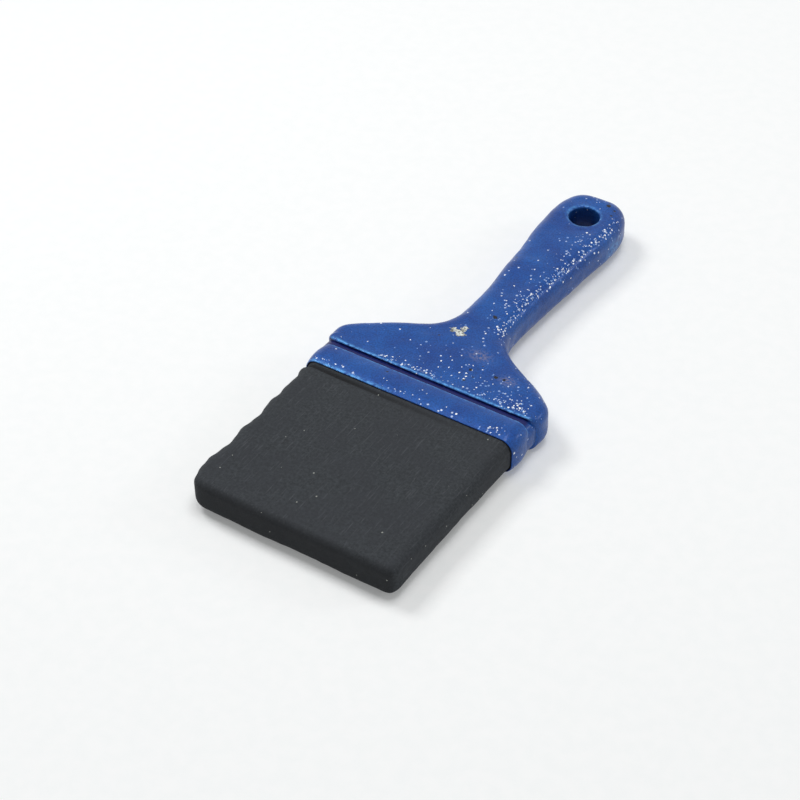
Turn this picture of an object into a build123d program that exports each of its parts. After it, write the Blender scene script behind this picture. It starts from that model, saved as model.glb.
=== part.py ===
"""A 100 mm flat wall brush lying on its back face, built as separate pieces.

+Y runs from the bristle tips to the tail of the handle, +X across the brush, +Z up.
The origin is under the middle of the brush, on the surface it lies on. Millimetres.
"""

import os

from build123d import *

# Ferrule: a band of thin sheet, bowed a little outwards, with its seam on the left edge
ferrule_width = 100.5
ferrule_thickness = 19.0
ferrule_length = 13.0
ferrule_corner = 6.5
ferrule_crown = 0.8
sheet = 0.8
seam_gap = 0.3

# Bristle pack, which tapers from the ferrule's mouth to its trimmed tips
bristle_length = 83.0
bristle_root = 7.0
bristle_taper = 1.4
bristle_tip_corner = 4.0

# Spacer plugs, the strips that part the pack into banks and leave room for paint
plug_thickness = 1.8
plug_side_gap = 8.0
plug_reach = 6.0

# Setting, the resin that binds the roots of the bristles
setting_cap = 1.5
setting_depth = 5.0

# Handle
groove_length = 2.5
shoulder_overhang = 0.8
shoulder_round = 7.0
flare_length = 37.5
neck_width = 24.5
neck_round = 28.0
neck_straight = 20.5
swell_width = 35.0
swell_from_tail = 30.0
handle_length = 152.5
handle_relief = 0.5
handle_edge_round = 4.5
hole_radius = 6.5
hole_from_tail = 20.0
hole_rim = 1.2

# Ferrule nails
nail_head_radius = 1.4
nail_head_depth = 0.6
nail_head_proud = 0.08
nail_shank_radius = 0.7
nail_length = 6.0
nail_spacing = 36.0
nails_per_face = 3
nail_from_rear = 2.4

# Places along the brush, worked out from the sizes above
total_length = bristle_length + ferrule_length + groove_length + handle_length
y_tip = -total_length / 2
y_mouth = y_tip + bristle_length
y_rear = y_mouth + ferrule_length
y_shoulder = y_rear + groove_length
y_tail = y_shoulder + handle_length
z_middle = ferrule_thickness / 2

lip_width = ferrule_width - 2 * ferrule_crown
lip_thickness = ferrule_thickness - 2 * ferrule_crown
bore_width = lip_width - 2 * sheet
bore_thickness = lip_thickness - 2 * sheet
bore_corner = ferrule_corner - sheet
y_root = y_mouth + bristle_root
y_tenon = y_root + setting_cap
y_nails = y_rear - nail_from_rear
plug_width = bore_width - 2 * plug_side_gap
bank_thickness = (bore_thickness - 2 * plug_thickness) / 3

handle_thickness = ferrule_thickness - 2 * handle_relief
shoulder_width = ferrule_width + 2 * shoulder_overhang
shoulder_front_round = handle_edge_round + 0.5
shoulder_length = shoulder_front_round + shoulder_round
neck_length = flare_length + neck_straight

nail_along = 1 - nail_from_rear / ferrule_length
nail_bow = 4 * ferrule_crown * nail_along * (1 - nail_along)
nail_rise = lip_thickness / 2 + nail_bow + nail_head_proud
nail_lean = 4 * ferrule_crown * (2 * nail_along - 1) / ferrule_length


def across(y):
    """A plane square to the length of the brush, with x along +X and y along +Z."""
    return Plane(origin=(0, y, z_middle), x_dir=(1, 0, 0), z_dir=(0, -1, 0))


def bowed_band(width, thickness, corner):
    """A closed body from the ferrule's mouth to its rear lip, fuller halfway along."""
    halfway = (y_mouth + y_rear) / 2
    with BuildPart() as form:
        for y, bow in ((y_mouth, 0), (halfway, ferrule_crown), (y_rear, 0)):
            with BuildSketch(across(y)):
                RectangleRounded(width + 2 * bow, thickness + 2 * bow, corner + bow)
        loft()
    return form.part


def tapered_pack():
    """The whole bristle pack: straight inside the ferrule, then tapering to its tips."""
    with BuildPart() as form:
        with BuildSketch(across(y_root)):
            RectangleRounded(bore_width, bore_thickness, bore_corner)
        extrude(amount=bristle_root)
        with BuildSketch(across(y_mouth)):
            RectangleRounded(bore_width, bore_thickness, bore_corner)
        with BuildSketch(across(y_tip)):
            RectangleRounded(
                bore_width - 2 * bristle_taper,
                bore_thickness - 2 * bristle_taper,
                bristle_tip_corner,
            )
        loft()
    return form.part


def cross_slab(y_from, y_to, z_low, z_high):
    """A box wider than the brush, used to take one layer out of a body."""
    with BuildPart() as slab:
        with Locations((0, (y_from + y_to) / 2, (z_low + z_high) / 2)):
            Box(2 * shoulder_width, y_to - y_from, z_high - z_low)
    return slab.part


# Ferrule nails: flat heads let into the band, shanks driven square to it into the tenon
nail_seats = [
    (face, (place - (nails_per_face - 1) / 2) * nail_spacing)
    for face in (1, -1)
    for place in range(nails_per_face)
]

with BuildPart() as ferrule_nails:
    for face, x in nail_seats:
        top_of_head = Plane(
            origin=(x, y_nails, z_middle + face * nail_rise), z_dir=(0, nail_lean, face)
        )
        with BuildSketch(top_of_head):
            Circle(nail_head_radius)
        extrude(amount=-nail_head_depth)
        with BuildSketch(top_of_head):
            Circle(nail_shank_radius)
        extrude(amount=-nail_length)
ferrule_nails.part.label = "ferrule_nails"

with BuildPart() as ferrule:
    add(bowed_band(lip_width, lip_thickness, ferrule_corner))
    add(bowed_band(bore_width, bore_thickness, bore_corner), mode=Mode.SUBTRACT)
    with Locations((-lip_width / 2, (y_mouth + y_rear) / 2, z_middle)):
        Box(4 * (sheet + ferrule_crown), ferrule_length, seam_gap, mode=Mode.SUBTRACT)
    add(ferrule_nails.part, mode=Mode.SUBTRACT)
ferrule.part.label = "ferrule"

# Spacer plugs: two strips set between the banks at the roots
plug_rises = {
    "spacer_plug_upper": (bank_thickness + plug_thickness) / 2,
    "spacer_plug_lower": -(bank_thickness + plug_thickness) / 2,
}
plugs = []
for label, rise in plug_rises.items():
    with BuildPart() as plug:
        with Locations((0, (y_mouth - plug_reach + y_root) / 2, z_middle + rise)):
            Box(plug_width, bristle_root + plug_reach, plug_thickness)
    plug.part.label = label
    plugs.append(plug.part)

# Bristle banks: the pack, parted along the middle of each plug
bank_edges = [
    z_middle - ferrule_thickness,
    z_middle + plug_rises["spacer_plug_lower"],
    z_middle + plug_rises["spacer_plug_upper"],
    z_middle + ferrule_thickness,
]
pack = tapered_pack()
banks = []
for label, z_low, z_high in zip(
    ("bristle_bank_lower", "bristle_bank_middle", "bristle_bank_upper"),
    bank_edges,
    bank_edges[1:],
):
    with BuildPart() as bank:
        add(pack)
        add(cross_slab(y_tip - 1, y_root + 1, z_low, z_high), mode=Mode.INTERSECT)
        for plug_part in plugs:
            add(plug_part, mode=Mode.SUBTRACT)
    bank.part.label = label
    banks.append(bank.part)

# Setting: resin round the roots and over their ends, out to the wall of the ferrule
with BuildPart() as setting:
    add(bowed_band(bore_width, bore_thickness, bore_corner))
    add(
        cross_slab(y_root - setting_depth, y_tenon, 0, 2 * z_middle),
        mode=Mode.INTERSECT,
    )
    add(pack, mode=Mode.SUBTRACT)
setting.part.label = "setting"

# Handle: a board with a wide shoulder, a narrow neck and a swelled tail
with BuildPart() as handle:
    with BuildSketch(Plane.XY.offset(z_middle - handle_thickness / 2)):
        with BuildLine():
            side = FilletPolyline(
                (0, y_shoulder),
                (shoulder_width / 2, y_shoulder),
                (shoulder_width / 2, y_shoulder + shoulder_length),
                (neck_width / 2, y_shoulder + flare_length),
                (neck_width / 2, y_shoulder + neck_length),
                radius=(shoulder_front_round, shoulder_round, neck_round),
            )
            swell = Spline(
                side @ 1,
                (swell_width / 2, y_tail - swell_from_tail),
                (0, y_tail),
                tangents=((0, 1), (-1, 0)),
            )
            Line(swell @ 1, side @ 0)
        make_face()
        mirror(about=Plane.YZ)
    extrude(amount=handle_thickness)
    levels = handle.edges().group_by(Axis.Z)
    fillet(levels[0] + levels[-1], radius=handle_edge_round)
    with BuildSketch(across(y_shoulder)):
        RectangleRounded(bore_width, bore_thickness, bore_corner)
    extrude(amount=y_shoulder - y_tenon)
    with Locations((0, y_tail - hole_from_tail, z_middle)):
        Hole(hole_radius)
    fillet(handle.edges(Select.LAST).filter_by(GeomType.CIRCLE), radius=hole_rim)
    add(ferrule_nails.part, mode=Mode.SUBTRACT)
handle.part.label = "handle"

os.makedirs("parts", exist_ok=True)
for part in (handle.part, ferrule.part, ferrule_nails.part, setting.part, *plugs, *banks):
    export_step(part, f"parts/{part.label}.step")
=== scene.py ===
"""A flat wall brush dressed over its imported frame, from the tail of the handle to the bristle tips.

Everything is in metres in the frame's own axes: +Y towards the tail, +X across, +Z up.
"""

from math import cos, pi, radians, sin

import bmesh
import bpy
import numpy as np
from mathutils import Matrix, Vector


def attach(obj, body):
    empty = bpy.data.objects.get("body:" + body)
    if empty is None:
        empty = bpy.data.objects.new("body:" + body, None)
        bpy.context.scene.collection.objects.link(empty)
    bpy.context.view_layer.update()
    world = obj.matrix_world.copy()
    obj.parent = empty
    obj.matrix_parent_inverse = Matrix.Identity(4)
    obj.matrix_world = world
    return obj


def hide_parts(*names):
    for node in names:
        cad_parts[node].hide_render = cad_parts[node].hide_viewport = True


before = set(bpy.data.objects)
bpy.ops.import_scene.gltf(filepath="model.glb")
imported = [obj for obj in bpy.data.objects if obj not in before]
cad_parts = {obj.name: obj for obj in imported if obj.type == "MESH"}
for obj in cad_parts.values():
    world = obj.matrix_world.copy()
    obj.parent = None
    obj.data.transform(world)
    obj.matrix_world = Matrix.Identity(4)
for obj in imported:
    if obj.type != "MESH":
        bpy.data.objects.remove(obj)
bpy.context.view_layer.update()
mm = 0.001

# ---------------------------------------------------------------- Handle
# A board with a wide shoulder, a narrow neck and a swelled tail, cut with a tenon that
# goes into the ferrule. It is dipped in blue flake lacquer over a silvery undercoat, and
# the lacquer has settled into soft lumps and pits, and has chipped.

shoulder_y = -27.0 * mm
handle_middle_z = 9.5 * mm
handle_half_thickness = 9.0 * mm
hole_y = 105.5 * mm
hole_radius = 6.5 * mm
hole_rim = 1.3 * mm
tenon_size = (100.2 * mm, 15.6 * mm)
tenon_corner = 5.6 * mm
tenon_ends = (-34.4 * mm, -25.0 * mm)
handle_count = 400
tenon_count = 360

# Rounding of the long edges, as pairs of a place along the brush and a radius
edge_rounding = [(-27, 1.0), (-22.5, 5.0), (4, 5.2), (16, 6.6)]

# Right half of the outline, as the corners that its curve is drawn towards
handle_corners = np.array([
    (0, -27), (20, -27), (36, -27), (44, -27), (48.4, -26.6), (50.8, -23.6), (51.2, -19),
    (50.6, -15.2), (47.8, -11.6), (41.4, -7.2), (30.6, -0.4), (21.8, 5), (15.4, 10.6), (12.7, 18),
    (12.1, 28), (12.4, 42), (13.5, 56), (15.0, 72), (16.5, 88), (17.5, 101), (17.2, 112),
    (14.0, 120.8), (8, 125.2), (0, 125.5),
]) * mm


def closed_curve(corners, count):
    """Points on the uniform cubic B-spline that a mirrored set of corners pulls.

    Each point is the four nearest corners, weighted by the cubic basis of how far the point
    lies along its span. The points are then spaced evenly by length, from x = 0 to x = 0.
    """
    loop = np.vstack([corners, corners[-2:0:-1] * (-1, 1)])
    u = np.linspace(0, len(corners) - 1, 40 * len(corners))
    span = np.floor(u).astype(int)
    t = (u - span)[:, None]
    weights = (
        (1 - t) ** 3 / 6,
        (3 * t**3 - 6 * t**2 + 4) / 6,
        (-3 * t**3 + 3 * t**2 + 3 * t + 1) / 6,
        t**3 / 6,
    )
    points = sum(w * loop[(span + k - 1) % len(loop)] for k, w in enumerate(weights))
    run = np.concatenate([[0], np.cumsum(np.linalg.norm(np.diff(points, axis=0), axis=1))])
    even = np.linspace(0, run[-1], count)
    half = np.stack([np.interp(even, run, points[:, 0]), np.interp(even, run, points[:, 1])], 1)
    half[[0, -1], 0] = 0
    return half


def both_sides(right, left=None):
    """The right half of a loop, then its left half turned over from a right one, or its own
    mirror image if no left half is given.
    """
    left = right if left is None else left
    return np.vstack([right, left[-2:0:-1] * (-1, 1)])


def outward(loop):
    """Unit vectors square to a loop that runs anticlockwise, from its neighbours' chord."""
    chord = np.roll(loop, -1, axis=0) - np.roll(loop, 1, axis=0)
    chord /= np.linalg.norm(chord, axis=1)[:, None]
    return np.stack([chord[:, 1], -chord[:, 0]], 1)


def slab(loop, core, edge, top, bottom, inner_rows=26, edge_rows=9, wall_rows=6):
    """A rounded slab as a grid: one row for each step from the core over the edge and back.

    Across the top the rows run straight from the core to the loop, moved in by the edge
    radius. They then follow a quarter circle, an upright wall, a second quarter circle and
    the bottom. top and bottom give the height of the faces at a point in plan.
    """
    normal = outward(loop)
    turn = np.linspace(0, pi / 2, edge_rows)
    reach = np.linspace(0, 1, inner_rows, endpoint=False)
    inset = loop - normal * edge[:, None]
    plan, share, drop = [], [], []
    for r in reach:
        plan.append(core + (inset - core) * r)
        share.append(0.0)
        drop.append(0.0)
    for angle in turn:
        plan.append(inset + normal * (edge * sin(angle))[:, None])
        share.append(0.0)
        drop.append(1 - cos(angle))
    for level in np.linspace(0, 1, wall_rows + 2)[1:-1]:
        plan.append(loop)
        share.append(level)
        drop.append(1.0)
    plan += plan[: inner_rows + edge_rows][::-1]
    share += [1.0] * (inner_rows + edge_rows)
    drop += drop[: inner_rows + edge_rows][::-1]
    plan, share, drop = np.array(plan), np.array(share)[:, None], np.array(drop)[:, None]
    high = top(plan[..., 0], plan[..., 1]) - drop * edge
    low = bottom(plan[..., 0], plan[..., 1]) + drop * edge
    return np.dstack([plan, high + (low - high) * share])


def level(height):
    """A face at one height all over."""
    return lambda x, y: np.full_like(x, height)


def grid_faces(rows, columns, first, wrap_rows):
    """Corner numbers of the quads of a grid whose columns close on themselves.

    A quad joins a point to the next row, the next column and the point that is next in both.
    """
    row = np.arange(rows if wrap_rows else rows - 1)[:, None]
    column = np.arange(columns)[None, :]
    after, beside = (row + 1) % rows, (column + 1) % columns
    corners = [
        row * columns + column,
        after * columns + column,
        after * columns + beside,
        row * columns + beside,
    ]
    quads = np.stack([np.broadcast_to(corner, (len(row), columns)) for corner in corners], -1)
    return quads.reshape(-1, 4) + first


def sealed_mesh(name, grids, wrap_rows=False):
    """One smooth mesh of several grids, with the points that coincide made one."""
    faces, first = [], 0
    for grid in grids:
        faces.append(grid_faces(grid.shape[0], grid.shape[1], first, wrap_rows))
        first += grid.shape[0] * grid.shape[1]
    faces = np.vstack(faces)
    points = np.vstack([grid.reshape(-1, 3) for grid in grids])
    mesh = bpy.data.meshes.new(name)
    mesh.from_pydata(points.tolist(), [], faces.tolist())
    sealer = bmesh.new()
    sealer.from_mesh(mesh)
    bmesh.ops.remove_doubles(sealer, verts=sealer.verts, dist=1e-7)
    sealer.to_mesh(mesh)
    sealer.free()
    mesh.shade_smooth()
    return mesh


def read_points(mesh):
    """The mesh's points and their normals as two arrays."""
    points = np.empty(3 * len(mesh.vertices))
    normals = np.empty(3 * len(mesh.vertices))
    mesh.vertices.foreach_get("co", points)
    mesh.vertex_normals.foreach_get("vector", normals)
    return points.reshape(-1, 3), normals.reshape(-1, 3)


def lumps(points, length, seed):
    """A smooth random field of about unit height: the sum of 24 plane waves of mixed heading,
    each near the given wavelength and with its own phase.
    """
    rng = np.random.default_rng(seed)
    heading = rng.normal(size=(24, 3))
    heading /= np.linalg.norm(heading, axis=1)[:, None]
    waves = heading * (2 * pi / length) * rng.uniform(0.6, 1.4, (24, 1))
    return np.sin(points @ waves.T + rng.uniform(0, 2 * pi, 24)).sum(1) / 24**0.5


def near(points, centre, size):
    """A bell from 1 at the centre to 0, with its own half width along each axis."""
    return np.exp(-(((points - np.array(centre)) / np.array(size)) ** 2).sum(1))


def stripe(values, middle, half_width, power=2):
    """A bell across one measure, flatter on top for a higher power: e to the minus of the
    distance from the middle in half widths, raised to that power.
    """
    return np.exp(-(((values - middle) / half_width) ** power))


def add_piece(name, mesh, material, slot, *nodes):
    """Puts a finished mesh into the scene in place of its CAD nodes."""
    mesh.materials.append(material)
    piece = bpy.data.objects.new(name, mesh)
    bpy.context.scene.collection.objects.link(piece)
    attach(piece, "root")
    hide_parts(*nodes)


def set_attribute(mesh, name, values):
    """Keeps one number for each point of a mesh, for its material to read."""
    field = mesh.attributes.new(name, "FLOAT", "POINT")
    field.data.foreach_set("value", np.clip(values, 0, 1).astype(np.float32))


handle_half = closed_curve(handle_corners, handle_count)
place_on_half = np.arange(handle_count)

# The core that the faces run out from: a spine along the neck, then a ring round the hole
neck_at = np.argmax(handle_half[:, 1] > 14 * mm)
hole_at = np.argmax(handle_half[:, 1] > 80 * mm)
ring_radius = hole_radius + hole_rim
core_y = np.interp(
    place_on_half,
    [0, neck_at, hole_at],
    [shoulder_y + 4 * mm, handle_half[neck_at, 1], hole_y - ring_radius],
)
bearing = np.arctan2(handle_half[:, 1] - hole_y, handle_half[:, 0])
ring_angle = np.interp(bearing, [bearing[hole_at], pi / 2], [-pi / 2, pi / 2])
on_ring = place_on_half >= hole_at
core_half = np.stack(
    [
        np.where(on_ring, ring_radius * np.cos(ring_angle), 0),
        np.where(on_ring, hole_y + ring_radius * np.sin(ring_angle), core_y),
    ],
    1,
)
core_half[[hole_at, -1], 0] = 0
handle_loop, handle_core = both_sides(handle_half), both_sides(core_half)
handle_rounding = np.interp(handle_loop[:, 1] / mm, *zip(*edge_rounding)) * mm
handle_grid = slab(
    handle_loop,
    handle_core,
    handle_rounding,
    level(handle_middle_z + handle_half_thickness),
    level(handle_middle_z - handle_half_thickness),
)

# The hanging hole: a ring carried down through the board, rounded at both rims
ring = handle_core[hole_at : len(handle_core) - hole_at + 1][:-1]
spokes = (ring - (0, hole_y)) / ring_radius
turn = np.linspace(0, pi / 2, 8)
bore_radius = ring_radius - hole_rim * np.concatenate([np.sin(turn), np.cos(turn)])
bore_height = np.concatenate([
    -handle_half_thickness + hole_rim * (1 - np.cos(turn)),
    handle_half_thickness - hole_rim * (1 - np.sin(turn)),
])
bore_grid = np.dstack([
    bore_radius[:, None] * spokes[:, 0],
    hole_y + bore_radius[:, None] * spokes[:, 1],
    np.repeat(handle_middle_z + bore_height[:, None], len(ring), 1),
])


def rounded_rectangle(width, height, corner, count):
    """Points, in x and z, evenly round a rectangle with quarter-circle corners, and the unit
    vectors square to it. The loop is the corner's circle moved out by the straight runs.
    """
    run_x, run_z = width - 2 * corner, height - 2 * corner
    arc = corner * pi / 2
    lengths = np.array([run_z / 2, arc, run_x, arc, run_z, arc, run_x, arc, run_z / 2])
    marks = np.concatenate([[0], np.cumsum(lengths)])
    s = np.linspace(0, marks[-1], count, endpoint=False)
    angle = np.interp(s, marks, np.array([0, 0, 1, 1, 2, 2, 3, 3, 4, 4]) * pi / 2)
    x = np.interp(s, marks, np.array([1, 1, 1, -1, -1, -1, -1, 1, 1, 1]) * run_x / 2)
    z = np.interp(s, marks, np.array([0, 1, 1, 1, 1, -1, -1, -1, -1, 0]) * run_z / 2)
    square = np.stack([np.cos(angle), np.sin(angle)], 1)
    return np.stack([x, z], 1) + corner * square, square


# The tenon: its outline carried from a point at one end, along its sides, to a point at the other
tenon_loop, _ = rounded_rectangle(*tenon_size, tenon_corner, tenon_count)
tenon_share = np.array([0, 0.5, 1, 1, 1, 1, 1, 1, 0.5, 0])
tenon_y = np.interp(np.arange(10), [0, 2, 7, 9], np.repeat(tenon_ends, 2))
tenon_grid = np.dstack([
    tenon_share[:, None] * tenon_loop[:, 0],
    np.repeat(tenon_y[:, None], tenon_count, 1),
    handle_middle_z + tenon_share[:, None] * tenon_loop[:, 1],
])


def plain_colour(red, green, blue):
    """A colour written as 0 to 255 steps of a screen, as the linear numbers that nodes take."""
    steps = np.array([red, green, blue]) / 255
    return (*np.where(steps < 0.04045, steps / 12.92, ((steps + 0.055) / 1.055) ** 2.4), 1.0)


def add_node(tree, kind, inputs=None, **settings):
    """A node with its settings. Each input is a plain value or another node's socket."""
    made = tree.nodes.new(kind)
    for name, value in settings.items():
        setattr(made, name, value)
    for name, value in (inputs or {}).items():
        if isinstance(value, bpy.types.NodeSocket):
            tree.links.new(value, made.inputs[name])
        else:
            made.inputs[name].default_value = value
    return made


def work_out(tree, operation, first, second):
    """The result of one sum on two numbers or sockets."""
    return add_node(tree, "ShaderNodeMath", {0: first, 1: second}, operation=operation).outputs[0]


def ramp(tree, value, low, high, from_value=0.0, to_value=1.0):
    """A number that goes smoothly from one value to another as its input passes low to high."""
    return add_node(
        tree,
        "ShaderNodeMapRange",
        {
            "Value": value,
            "From Min": low,
            "From Max": high,
            "To Min": from_value,
            "To Max": to_value,
        },
        interpolation_type="SMOOTHSTEP",
    ).outputs["Result"]


def blend(tree, share, first, second, mode="MIX"):
    """One colour over another, by a share from 0 to 1."""
    mix = add_node(tree, "ShaderNodeMix", data_type="RGBA", blend_type=mode)
    for socket, value in zip((mix.inputs[0], mix.inputs[6], mix.inputs[7]), (share, first, second)):
        if isinstance(value, bpy.types.NodeSocket):
            tree.links.new(value, socket)
        else:
            socket.default_value = value
    return mix.outputs[2]


def noise(tree, vector, length, detail=2.0, roughness=0.5):
    """Smooth noise from 0 to 1 whose features are about one length across."""
    return add_node(
        tree,
        "ShaderNodeTexNoise",
        {"Vector": vector, "Scale": 1 / length, "Detail": detail, "Roughness": roughness},
    ).outputs["Fac"]


def new_group(name, inputs, outputs):
    """An empty node group with named inputs, each with its kind and value, and outputs."""
    tree = bpy.data.node_groups.new(name, "ShaderNodeTree")
    for label, (kind, value) in inputs.items():
        tree.interface.new_socket(label, in_out="INPUT", socket_type=kind).default_value = value
    for label, kind in outputs.items():
        tree.interface.new_socket(label, in_out="OUTPUT", socket_type=kind)
    return tree, add_node(tree, "NodeGroupInput").outputs, add_node(tree, "NodeGroupOutput")


def new_material(name, **constants):
    """A material with a Principled BSDF whose unchanging values are set on its own sockets."""
    material = bpy.data.materials.new(name)
    material.use_nodes = True
    tree = material.node_tree
    surface = tree.nodes["Principled BSDF"]
    for label, value in constants.items():
        surface.inputs[label.replace("_", " ")].default_value = value
    place = add_node(tree, "ShaderNodeTexCoord").outputs["Object"]
    return material, tree, surface, place


# Flake lacquer: blue with a slow change of depth, specks of flake painted pale to near white as
# glints in the film, and pinholes where air came out of it, painted dark as shade. Both kinds of
# speck are cells picked by their own random number, and each is a disc round its cell's point.
pinhole_spacing = 2.6 * mm
flake_tree, given, result = new_group(
    "flake lacquer",
    {
        "Vector": ("NodeSocketVector", (0, 0, 0)),
        "Deep": ("NodeSocketColor", plain_colour(10, 60, 134)),
        "Light": ("NodeSocketColor", plain_colour(18, 80, 156)),
        "Flake Size": ("NodeSocketFloat", 0.001),
        "Flake Glint Amount": ("NodeSocketFloat", 0.1),
        "Pinhole Amount": ("NodeSocketFloat", 0.0),
    },
    {"Color": "NodeSocketColor", "Height": "NodeSocketFloat"},
)
cells = add_node(
    flake_tree,
    "ShaderNodeTexVoronoi",
    {"Vector": given["Vector"], "Scale": work_out(flake_tree, "DIVIDE", 1.0, given["Flake Size"])},
)
cell_numbers = add_node(flake_tree, "ShaderNodeSeparateColor", {"Color": cells.outputs["Color"]}).outputs
flake_cut = work_out(flake_tree, "SUBTRACT", 1.0, given["Flake Glint Amount"])
flake_picked = work_out(flake_tree, "GREATER_THAN", cell_numbers[0], flake_cut)
disc_edge = ramp(flake_tree, cell_numbers[1], 0, 1, 0.14, 0.58)
disc = work_out(flake_tree, "LESS_THAN", cells.outputs["Distance"], disc_edge)
flake = work_out(flake_tree, "MULTIPLY", flake_picked, disc)
holes = add_node(
    flake_tree, "ShaderNodeTexVoronoi", {"Vector": given["Vector"], "Scale": 1 / pinhole_spacing}
).outputs
hole_numbers = add_node(flake_tree, "ShaderNodeSeparateColor", {"Color": holes["Color"]}).outputs
hole_cut = work_out(flake_tree, "SUBTRACT", 1.0, given["Pinhole Amount"])
hole_picked = work_out(flake_tree, "GREATER_THAN", hole_numbers[0], hole_cut)
pinhole = work_out(
    flake_tree, "MULTIPLY", hole_picked, ramp(flake_tree, holes["Distance"], 0.14, 0.3, 1, 0)
)
depth = ramp(flake_tree, noise(flake_tree, given["Vector"], 18 * mm, 2), 0.25, 0.75)
grain = ramp(flake_tree, noise(flake_tree, given["Vector"], 0.7 * mm, 2), 0.3, 0.7, 0.72, 1.2)
grey = add_node(flake_tree, "ShaderNodeCombineColor", {0: grain, 1: grain, 2: grain}).outputs[0]
film = blend(flake_tree, depth, given["Deep"], given["Light"])
film = blend(flake_tree, 1.0, film, grey, "MULTIPLY")
# Flake specks painted pale blue to near white: painted glints of the flake.
glint_speck = blend(flake_tree, cell_numbers[2], plain_colour(70, 124, 196), plain_colour(250, 253, 254))
film = blend(flake_tree, flake, film, glint_speck)
# Pinholes painted dark navy: painted shade inside them.
film = blend(flake_tree, pinhole, film, plain_colour(16, 22, 44))
height = work_out(
    flake_tree,
    "ADD",
    work_out(flake_tree, "MULTIPLY", flake, 0.25),
    work_out(flake_tree, "MULTIPLY", grain, 0.5),
)
height = work_out(flake_tree, "SUBTRACT", height, work_out(flake_tree, "MULTIPLY", pinhole, 3.0))
flake_tree.links.new(film, result.inputs["Color"])
flake_tree.links.new(height, result.inputs["Height"])

# Chip: a ragged spot round a place, 1 where the lacquer has come off down to the undercoat
chip_tree, given, result = new_group(
    "chip",
    {
        "Vector": ("NodeSocketVector", (0, 0, 0)),
        "Centre": ("NodeSocketVector", (0, 0, 0)),
        "Radius": ("NodeSocketFloat", 0.002),
    },
    {"Mask": "NodeSocketFloat"},
)
wander = noise(chip_tree, given["Vector"], 1.8 * mm, 3.0)
reach = add_node(
    chip_tree, "ShaderNodeVectorMath", {0: given["Vector"], 1: given["Centre"]}, operation="DISTANCE"
).outputs["Value"]
ragged = work_out(
    chip_tree,
    "ADD",
    work_out(chip_tree, "DIVIDE", reach, given["Radius"]),
    work_out(chip_tree, "MULTIPLY", wander, 2.4),
)
chip_tree.links.new(ramp(chip_tree, ragged, 2.05, 2.2, 1, 0), result.inputs["Mask"])


def spots(tree, place, chips):
    """One mask of several chips, each given as its centre and radius in millimetres."""
    mask = 0.0
    for centre, radius in chips:
        chip = add_node(tree, "ShaderNodeGroup", node_tree=chip_tree)
        tree.links.new(place, chip.inputs["Vector"])
        chip.inputs["Centre"].default_value = [c * mm for c in centre]
        chip.inputs["Radius"].default_value = radius * mm
        mask = work_out(tree, "MAXIMUM", chip.outputs["Mask"], mask)
    return mask


def lacquer_material(name, chips, pits):
    """Flake lacquer that follows the piece's own attributes: the amount of flake, drawn pale as painted
    glints, pinholes, bright thin edges that are painted highlights and in places real wear, grey scuffs,
    and painted shade in the groove, the hole and inside the band. Chips show undercoat; pits are deep and
    painted dark as shade.
    """
    material, tree, surface, place = new_material(
        name, Metallic=0.2, Coat_Weight=0.18, Coat_Roughness=0.12, Specular_IOR_Level=0.2
    )
    flake_glint, pitted, edge_glint_and_wear, rubbed, painted_shade = (
        add_node(tree, "ShaderNodeAttribute", attribute_name=label).outputs["Fac"]
        for label in ("flake_glint", "pitted", "edge_glint_and_wear", "rubbed", "painted_shade")
    )
    lacquer = add_node(tree, "ShaderNodeGroup", node_tree=flake_tree)
    for label, value in {"Vector": place, "Flake Glint Amount": flake_glint, "Pinhole Amount": pitted}.items():
        tree.links.new(value, lacquer.inputs[label])
    lacquer.inputs["Flake Size"].default_value = 0.9 * mm
    glint_and_wear_patches = ramp(tree, noise(tree, place, 2.2 * mm, 4, 0.7), 0.35, 0.62)
    rubbed_patches = ramp(tree, noise(tree, place, 1.3 * mm, 4, 0.75), 0.42, 0.58)
    # Pale cyan over the lacquer: painted highlights on thin edges, and real wear on the tail's side.
    colour = blend(
        tree,
        work_out(tree, "MULTIPLY", edge_glint_and_wear, glint_and_wear_patches),
        lacquer.outputs["Color"],
        plain_colour(88, 158, 222),
    )
    colour = blend(
        tree, work_out(tree, "MULTIPLY", rubbed, rubbed_patches), colour, plain_colour(112, 112, 140)
    )
    # Dark navy in the groove, the hole's bore and inside the band: painted shade.
    colour = blend(tree, painted_shade, colour, plain_colour(8, 18, 84))
    # Pits painted near black: painted shade inside them.
    sunk = spots(tree, place, pits)
    colour = blend(tree, sunk, colour, plain_colour(18, 20, 34))
    bare = spots(tree, place, chips)
    crumbs = noise(tree, place, 1.1 * mm, 3, 0.6)
    undercoat = blend(
        tree, ramp(tree, crumbs, 0.38, 0.62), plain_colour(96, 98, 92), plain_colour(214, 218, 212)
    )
    colour = blend(tree, bare, colour, undercoat)
    crumbs_height = work_out(tree, "SUBTRACT", work_out(tree, "MULTIPLY", crumbs, 6.0), 5.0)
    waves = work_out(tree, "MULTIPLY", noise(tree, place, 3.5 * mm, 3), 2.0)
    relief = work_out(
        tree, "ADD", lacquer.outputs["Height"], work_out(tree, "MULTIPLY", bare, crumbs_height)
    )
    relief = work_out(tree, "ADD", relief, waves)
    relief = work_out(tree, "SUBTRACT", relief, work_out(tree, "MULTIPLY", sunk, 4.0))
    bump = add_node(tree, "ShaderNodeBump", {"Height": relief, "Distance": 0.09 * mm, "Strength": 0.8})
    gloss = ramp(tree, noise(tree, place, 5 * mm, 3), 0.3, 0.7, 0.3, 0.46)
    tree.links.new(colour, surface.inputs["Base Color"])
    tree.links.new(gloss, surface.inputs["Roughness"])
    tree.links.new(bump.outputs["Normal"], surface.inputs["Normal"])
    return material


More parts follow.
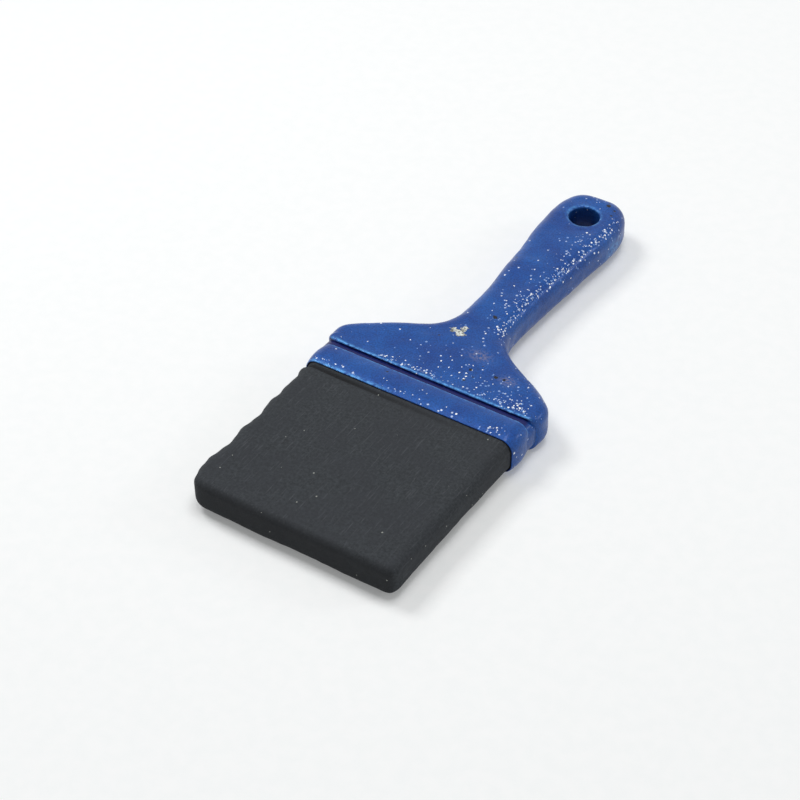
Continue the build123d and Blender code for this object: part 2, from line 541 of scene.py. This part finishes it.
handle_mesh = sealed_mesh("handle_skin", [handle_grid, bore_grid, tenon_grid])
handle_points, handle_normals = read_points(handle_mesh)
swell = 0.20 * mm * lumps(handle_points, 26 * mm, 1) + 0.05 * mm * lumps(handle_points, 7 * mm, 2)
handle_points += handle_normals * (swell - 0.25 * mm)[:, None]
handle_points[:, 2] = np.clip(handle_points[:, 2], 0.1 * mm, None)
handle_mesh.vertices.foreach_set("co", handle_points.ravel())
handle_mesh.update()

# Where the film has flake drawn as painted glints, pinholes, painted edge highlights and wear, and
# scuffs: the shoulder's front edge, the right edge of the handle, the tail and the rim of the hole. Places
# and widths are in millimetres.
x, y, z = handle_points.T / mm
half_width = np.interp(y, handle_half[:, 1] / mm, handle_half[:, 0] / mm)
on_handle = np.clip((y - 8) / 8, 0, 1)
over_groove = stripe(y, -24.2, 1.5) * (z > 14)
from_hole = np.hypot(x, y - hole_y / mm)
# Pale flake specks gathered in bands along the groove's edge and the handle's right edge: painted glints.
set_attribute(
    handle_mesh,
    "flake_glint",
    0.02
    + 0.95 * over_groove * stripe(x, -13, 13, 4)
    + 0.35 * over_groove * stripe(x, 20, 24, 4)
    + 0.90 * near(handle_points / mm, (39, -22.5, 18), (5, 3, 6))
    + 0.20 * near(handle_points / mm, (22, -14, 18), (18, 9, 8))
    + 0.85 * on_handle * stripe(x, half_width - 3.4, 1.3) * (y < 112) * (z > 13)
    + 0.17 * on_handle * stripe(x, half_width - 8, 4.5) * (y < 96) * (z > 14),
)
set_attribute(
    handle_mesh,
    "pitted",
    0.006
    + 0.34 * near(handle_points / mm, (20, -11, 18), (13, 6, 8))
    + 0.30 * near(handle_points / mm, (10, 118, 16), (7, 6, 8))
    + 0.30 * near(handle_points / mm, (-11, 44, 15), (3, 18, 6)),
)
# Bright lines along the shoulder's front edge and round the hole's rim are painted highlights; the pale
# patch on the tail's right side is wear.
set_attribute(
    handle_mesh,
    "edge_glint_and_wear",
    0.95 * stripe(y, -26.1, 0.6) * (z > 17.2)
    + 0.5 * stripe(from_hole, 7.5, 0.7) * (z > 15)
    + 0.75 * near(handle_points / mm, (17.5, 104, 8), (5, 6, 4.5)),
)
set_attribute(
    handle_mesh,
    "rubbed",
    near(handle_points / mm, (11, -3.5, 18), (4.5, 3, 6))
    + 0.9 * near(handle_points / mm, (28.5, -11, 18), (3.5, 2.5, 6)),
)
# Painted shade: dark navy down in the groove, fading out at its right end, and in the bore of the hole.
in_groove = (y < -25.9) * np.clip((18.0 - z) / 0.5, 0, 1) * np.clip((48.5 - x) / 2, 0.15, 1)
in_hole = (from_hole < 7.2) * np.clip((17.6 - z) / 1.2, 0, 0.85)
set_attribute(handle_mesh, "painted_shade", in_groove + in_hole)

# Chips and pits: the centre and radius of each in millimetres
handle_chips = [
    ((-7.4, 5.4, 18.3), 1.7),
    ((-5.2, 5.2, 18.3), 1.5),
    ((-3.2, 4.8, 18.3), 2.0),
    ((-3.4, 8.0, 18.3), 1.7),
]
handle_pits = [
    ((3.6, 22, 18.3), 1.2),
    ((6, 118, 18.3), 1.1),
    ((9.6, 120.6, 17), 1.1),
    ((12, -13, 18.3), 0.9),
    ((23.5, -11.5, 18.3), 0.9),
    ((27, -11, 18.3), 0.8),
]
handle_lacquer = lacquer_material("handle_lacquer", handle_chips, handle_pits)
add_piece("handle_skin", handle_mesh, handle_lacquer, "handle_lacquer", "handle")

# ---------------------------------------------------------------- Ferrule
# A band of thin steel, pressed to a slight bow and closed by a butt seam on its left edge.
# Nails through it hold it to the tenon. It is lacquered with the handle, over the nails.

ferrule_mouth = -42.5 * mm
ferrule_rear = -29.5 * mm
lip_size = (98.9 * mm, 17.4 * mm)
lip_corner = 5.7 * mm
ferrule_crown = 0.8 * mm
sheet = 0.8 * mm

# A closed ring of rows: along the outside from the rear lip to the mouth, round the mouth,
# back along the inside and round the rear lip. Halfway along, both faces stand out by the
# crown, and each lip is half a circle as wide as the sheet.
ferrule_loop, ferrule_square = rounded_rectangle(*lip_size, lip_corner, 760)
along = np.linspace(0, 1, 26)
inner_along = np.linspace(1, 0, 9)
lip_turn = np.linspace(0, pi, 8)[1:-1]
ferrule_out = np.concatenate([
    4 * ferrule_crown * along * (1 - along),
    -sheet / 2 * (1 - np.cos(lip_turn)),
    -sheet + 4 * ferrule_crown * inner_along * (1 - inner_along),
    -sheet / 2 * (1 + np.cos(lip_turn)),
])
ferrule_length = ferrule_rear - ferrule_mouth - sheet
ferrule_y = np.concatenate([
    ferrule_rear - sheet / 2 - ferrule_length * along,
    ferrule_mouth + sheet / 2 * (1 - np.sin(lip_turn)),
    ferrule_rear - sheet / 2 - ferrule_length * inner_along,
    ferrule_rear - sheet / 2 * (1 - np.sin(lip_turn)),
])
ferrule_plan = ferrule_loop[None] + ferrule_out[:, None, None] * ferrule_square[None]
ferrule_grid = np.dstack([
    ferrule_plan[..., 0],
    np.repeat(ferrule_y[:, None], len(ferrule_loop), 1),
    handle_middle_z + ferrule_plan[..., 1],
])
ferrule_mesh = sealed_mesh("ferrule_skin", [ferrule_grid[::-1]], wrap_rows=True)
ferrule_points, ferrule_normals = read_points(ferrule_mesh)
x, y, z = ferrule_points.T / mm
outside = np.repeat(ferrule_out[::-1] > -sheet / 2, len(ferrule_loop))
seam = 0.35 * mm * stripe(z, 9.5, 0.35) * (x < -48.9)
film = 0.06 * mm * lumps(ferrule_points, 24 * mm, 3) + 0.025 * mm * lumps(ferrule_points, 5 * mm, 4)
ferrule_points += ferrule_normals * ((film - 0.1 * mm) * outside - seam)[:, None]
ferrule_points[:, 2] = np.clip(ferrule_points[:, 2], 0, None)
ferrule_mesh.vertices.foreach_set("co", ferrule_points.ravel())
ferrule_mesh.update()
# Pale flake specks gathered near the mouth and the right end of the band: painted glints.
set_attribute(
    ferrule_mesh,
    "flake_glint",
    0.015
    + 0.34 * stripe(y, -40.9, 1.3) * (0.35 + 0.65 * stripe(x, -38, 9))
    + 0.45 * near(ferrule_points / mm, (38, -39, 18), (5, 2, 6)),
)
set_attribute(ferrule_mesh, "pitted", 0.01 + 0.3 * stripe(y, -30.6, 0.9) * (x > 5))
# Bright lines along the mouth and the rear lip of the band are painted highlights.
set_attribute(
    ferrule_mesh,
    "edge_glint_and_wear",
    0.95 * stripe(y, -42.1, 0.8) * np.clip((-x - 5) / 15, 0, 1) + 0.55 * stripe(y, -29.9, 0.4),
)
# Painted shade over the whole inside of the band.
set_attribute(ferrule_mesh, "painted_shade", 1 - outside)
ferrule_lacquer = lacquer_material("ferrule_lacquer", [], [])
add_piece("ferrule_skin", ferrule_mesh, ferrule_lacquer, "ferrule_lacquer", "ferrule", "ferrule_nails")

# ---------------------------------------------------------------- Bristle pack
# Thousands of black bristles, packed tight in three banks that read as one block. They
# taper to a trimmed, rounded tip and are matted together, with a ragged left edge.

pack_tip = -125.5 * mm
pack_count = 420

# Corners of the outline on each side, from the middle of the tips to the middle of the roots.
# The right tip corner is sharp and the left one broad.
pack_sides = [
    (47.3, -104), (47.5, -90), (47.9, -74), (48.3, -60), (48.6, -50), (48.6, -45), (48.6, -42.2),
    (47.4, -38.6), (44, -36.9), (38, -36.5), (20, -36.5), (0, -36.5),
]
sharp_corner = [
    (0, -125.5), (20, -125.5), (35, -125.5), (40.6, -125.5), (45.2, -125.2), (47.2, -121.6), (47.2, -116),
]
broad_corner = [
    (0, -125.5), (20, -125.5), (33, -125.5), (39, -125.5), (44.4, -125.1), (47.8, -121.6), (48.2, -114.5),
]
pack_right = closed_curve(np.array(sharp_corner + pack_sides) * mm, pack_count)
pack_left = closed_curve(np.array(broad_corner + pack_sides) * mm, pack_count)
pack_core = np.stack([np.zeros(pack_count), np.linspace(-117, -43, pack_count) * mm], 1)
pack_loop = both_sides(pack_right, pack_left)
pack_rounding = [(-125, 3.4), (-116, 4.4), (-60, 5.6), (-43, 5.6), (-39, 3.4)]


def pack_rise(y, at_tip):
    """Height of a face over the middle: full in the ferrule, going evenly to that at the tips."""
    return np.interp(y, [pack_tip, ferrule_mouth], [at_tip, 7.85 * mm])


pack_grid = slab(
    pack_loop,
    both_sides(pack_core),
    np.interp(pack_loop[:, 1] / mm, *zip(*pack_rounding)) * mm,
    lambda x, y: handle_middle_z + pack_rise(y, 6.5 * mm),
    lambda x, y: handle_middle_z - pack_rise(y, 7.6 * mm),
    inner_rows=40,
)
pack_mesh = sealed_mesh("bristle_pack", [pack_grid])
pack_points, pack_normals = read_points(pack_mesh)
x, y, z = pack_points.T / mm
free = np.clip((-42.8 - y) / 3, 0, 1)

# Tufts that stand out of the left edge: the middle, half width and height of each
tufts = [(-47, 2.6, 0.9), (-58, 4.5, 0.9), (-70, 5.2, 1.4), (-89, 6.2, 1.7), (-109, 9.5, 2.1)]
on_left_edge = np.clip((-x - 36) / 11, 0, 1) ** 2 * free
ragged = sum(tall * stripe(y, middle, half) for middle, half, tall in tufts) + 0.14 * np.sin(y / 1.1)
pack_points[:, 0] -= on_left_edge * ragged * mm

# Lumps all over, and a crease where the pack swells out of the band, deepest on the left
crease = stripe(y, -44.9 - 0.012 * x, 1.0) * np.clip(0.55 - x / 70, 0.15, 1) * (z > 11)
matting = 0.11 * mm * lumps(pack_points, 24 * mm, 5) + 0.045 * mm * lumps(pack_points, 6 * mm, 6)
pack_points += pack_normals * (free * (matting - 0.15 * mm) - 0.9 * mm * crease)[:, None]
pack_mesh.vertices.foreach_set("co", pack_points.ravel())
pack_mesh.update()
set_attribute(pack_mesh, "shaded", 1.1 * crease + 0.6 * np.clip((-122.6 - y) / 2.5, 0, 1))

bristle_material, tree, surface, place = new_material("bristle", Specular_IOR_Level=0.2)
stretched = add_node(tree, "ShaderNodeMapping", {"Vector": place, "Scale": (1, 0.06, 1)}).outputs["Vector"]
strands = noise(tree, stretched, 0.55 * mm, 3, 0.6)
mottle = noise(tree, place, 1.2 * mm, 4, 0.75)
cloud = noise(tree, place, 18 * mm, 3)
colour = blend(tree, ramp(tree, mottle, 0.3, 0.7), plain_colour(36, 39, 42), plain_colour(62, 66, 70))
colour = blend(tree, ramp(tree, cloud, 0.35, 0.65, 0, 0.4), colour, plain_colour(48, 50, 55))
colour = blend(tree, ramp(tree, strands, 0.56, 0.72, 0, 0.4), colour, plain_colour(86, 89, 94))
shaded = add_node(tree, "ShaderNodeAttribute", attribute_name="shaded").outputs["Fac"]
colour = blend(tree, shaded, colour, plain_colour(24, 25, 27))
dust = add_node(tree, "ShaderNodeTexVoronoi", {"Vector": place, "Scale": 1 / (4.0 * mm)}).outputs
dust_number = add_node(tree, "ShaderNodeSeparateColor", {"Color": dust["Color"]}).outputs[0]
dust_edge = work_out(tree, "MULTIPLY", dust_number, 0.085)
dust_speck = work_out(
    tree,
    "MULTIPLY",
    work_out(tree, "GREATER_THAN", dust_number, 0.6),
    work_out(tree, "LESS_THAN", dust["Distance"], dust_edge),
)
colour = blend(tree, work_out(tree, "MULTIPLY", dust_speck, 0.6), colour, plain_colour(196, 198, 190))
relief = work_out(tree, "ADD", work_out(tree, "MULTIPLY", strands, 0.7), mottle)
bump = add_node(tree, "ShaderNodeBump", {"Height": relief, "Distance": 0.22 * mm, "Strength": 0.8})
tree.links.new(colour, surface.inputs["Base Color"])
tree.links.new(ramp(tree, mottle, 0.3, 0.7, 0.72, 0.9), surface.inputs["Roughness"])
tree.links.new(bump.outputs["Normal"], surface.inputs["Normal"])
add_piece(
    "bristle_pack",
    pack_mesh,
    bristle_material,
    "bristle",
    "bristle_bank_upper",
    "bristle_bank_middle",
    "bristle_bank_lower",
)

# ---------------------------------------------------------------- Setting and spacer plugs
# Amber resin binds the roots of the bristles, and two sawn wood strips part the banks and
# leave room for paint between them. Both are set into the ferrule, under the bristles.


def finish_node(name, material):
    """Gives a carried-over solid its finish."""
    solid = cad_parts[name]
    solid.data.materials.clear()
    solid.data.materials.append(material)


resin_material, tree, surface, place = new_material("resin", Specular_IOR_Level=0.5, Coat_Weight=0.2)
cloudy = noise(tree, place, 4 * mm, 4)
tree.links.new(
    blend(tree, ramp(tree, cloudy, 0.3, 0.7), plain_colour(150, 104, 48), plain_colour(190, 142, 74)),
    surface.inputs["Base Color"],
)
tree.links.new(ramp(tree, cloudy, 0.3, 0.7, 0.3, 0.5), surface.inputs["Roughness"])
finish_node("setting", resin_material)

plug_material, tree, surface, place = new_material("plug_wood", Specular_IOR_Level=0.3)
lengthwise = add_node(tree, "ShaderNodeMapping", {"Vector": place, "Scale": (0.08, 1, 1)}).outputs["Vector"]
wood_grain = noise(tree, lengthwise, 0.8 * mm, 4, 0.6)
tree.links.new(
    blend(tree, ramp(tree, wood_grain, 0.3, 0.7), plain_colour(176, 140, 98), plain_colour(214, 182, 138)),
    surface.inputs["Base Color"],
)
tree.links.new(ramp(tree, wood_grain, 0.3, 0.7, 0.6, 0.8), surface.inputs["Roughness"])
for name in ("spacer_plug_upper", "spacer_plug_lower"):
    finish_node(name, plug_material)

# ---------------------------------------------------------------- Floor, light and camera
# A pale sheet to lie on, a soft lamp on the left, a broad one overhead and a low one behind.
# Far from the brush the sheet fades into the white of the room.

scene = bpy.context.scene
scene.view_settings.view_transform = "Standard"

floor_mesh = bpy.data.meshes.new("floor")
floor_mesh.from_pydata([(-3, -3, 0), (3, -3, 0), (3, 3, 0), (-3, 3, 0)], [], [(0, 1, 2, 3)])
floor = bpy.data.objects.new("floor", floor_mesh)
scene.collection.objects.link(floor)
floor_material, tree, surface, place = new_material("pale_floor", Roughness=0.9, Specular_IOR_Level=0.1)
clouding = ramp(tree, noise(tree, place, 6 * mm, 3), 0.3, 0.7)
tree.links.new(
    blend(tree, clouding, plain_colour(249, 251, 251), plain_colour(252, 253, 253)),
    surface.inputs["Base Color"],
)
glow = add_node(tree, "ShaderNodeEmission", {"Color": plain_colour(251, 253, 253), "Strength": 1.0})


def seen_directly(tree):
    """1 for what the camera sees, straight or in a reflection or through glass, otherwise 0."""
    paths = add_node(tree, "ShaderNodeLightPath").outputs
    mirrored = work_out(tree, "MAXIMUM", paths["Is Glossy Ray"], paths["Is Transmission Ray"])
    return work_out(tree, "MAXIMUM", paths["Is Camera Ray"], mirrored)


far = add_node(tree, "ShaderNodeVectorMath", {0: place}, operation="LENGTH").outputs["Value"]
shown = add_node(
    tree,
    "ShaderNodeMixShader",
    {
        0: work_out(tree, "MULTIPLY", seen_directly(tree), ramp(tree, far, 0.2, 0.6, 0.2, 1.0)),
        1: surface.outputs["BSDF"],
        2: glow.outputs["Emission"],
    },
)
tree.links.new(shown.outputs[0], tree.nodes["Material Output"].inputs["Surface"])
floor_mesh.materials.append(floor_material)


def add_lamp(name, place, size, power):
    """A square soft lamp that faces the middle of the brush."""
    lamp_data = bpy.data.lights.new(name, "AREA")
    lamp_data.size = size
    lamp_data.energy = power
    lamp = bpy.data.objects.new(name, lamp_data)
    lamp.location = place
    lamp.rotation_euler = Vector(place).to_track_quat("Z", "Y").to_euler()
    scene.collection.objects.link(lamp)


add_lamp("left lamp", (-0.95, 0.05, 1.2), 0.5, 9)
add_lamp("top lamp", (0.1, 0.12, 1.65), 0.8, 12)
add_lamp("back lamp", (0.95, 0.75, 0.55), 0.3, 1.6)

world = bpy.data.worlds.new("studio")
world.use_nodes = True
tree = world.node_tree
sky = tree.nodes["Background"]
sky.inputs["Color"].default_value = (1, 1, 1, 1)
tree.links.new(ramp(tree, seen_directly(tree), 0, 1, 0.25, 1.0), sky.inputs["Strength"])
scene.world = world

camera_data = bpy.data.cameras.new("camera")
camera_data.lens = 92.2
camera_data.sensor_width = 36.0
camera = bpy.data.objects.new("camera", camera_data)
scene.collection.objects.link(camera)
target = Vector((-13.25 * mm, -26.71 * mm, 0))
azimuth, elevation, distance = radians(32.57), radians(41.25), 0.850
back = Vector((sin(azimuth) * cos(elevation), -cos(azimuth) * cos(elevation), sin(elevation)))
camera.location = target + distance * back
camera.rotation_euler = back.to_track_quat("Z", "Y").to_euler()
scene.camera = camera
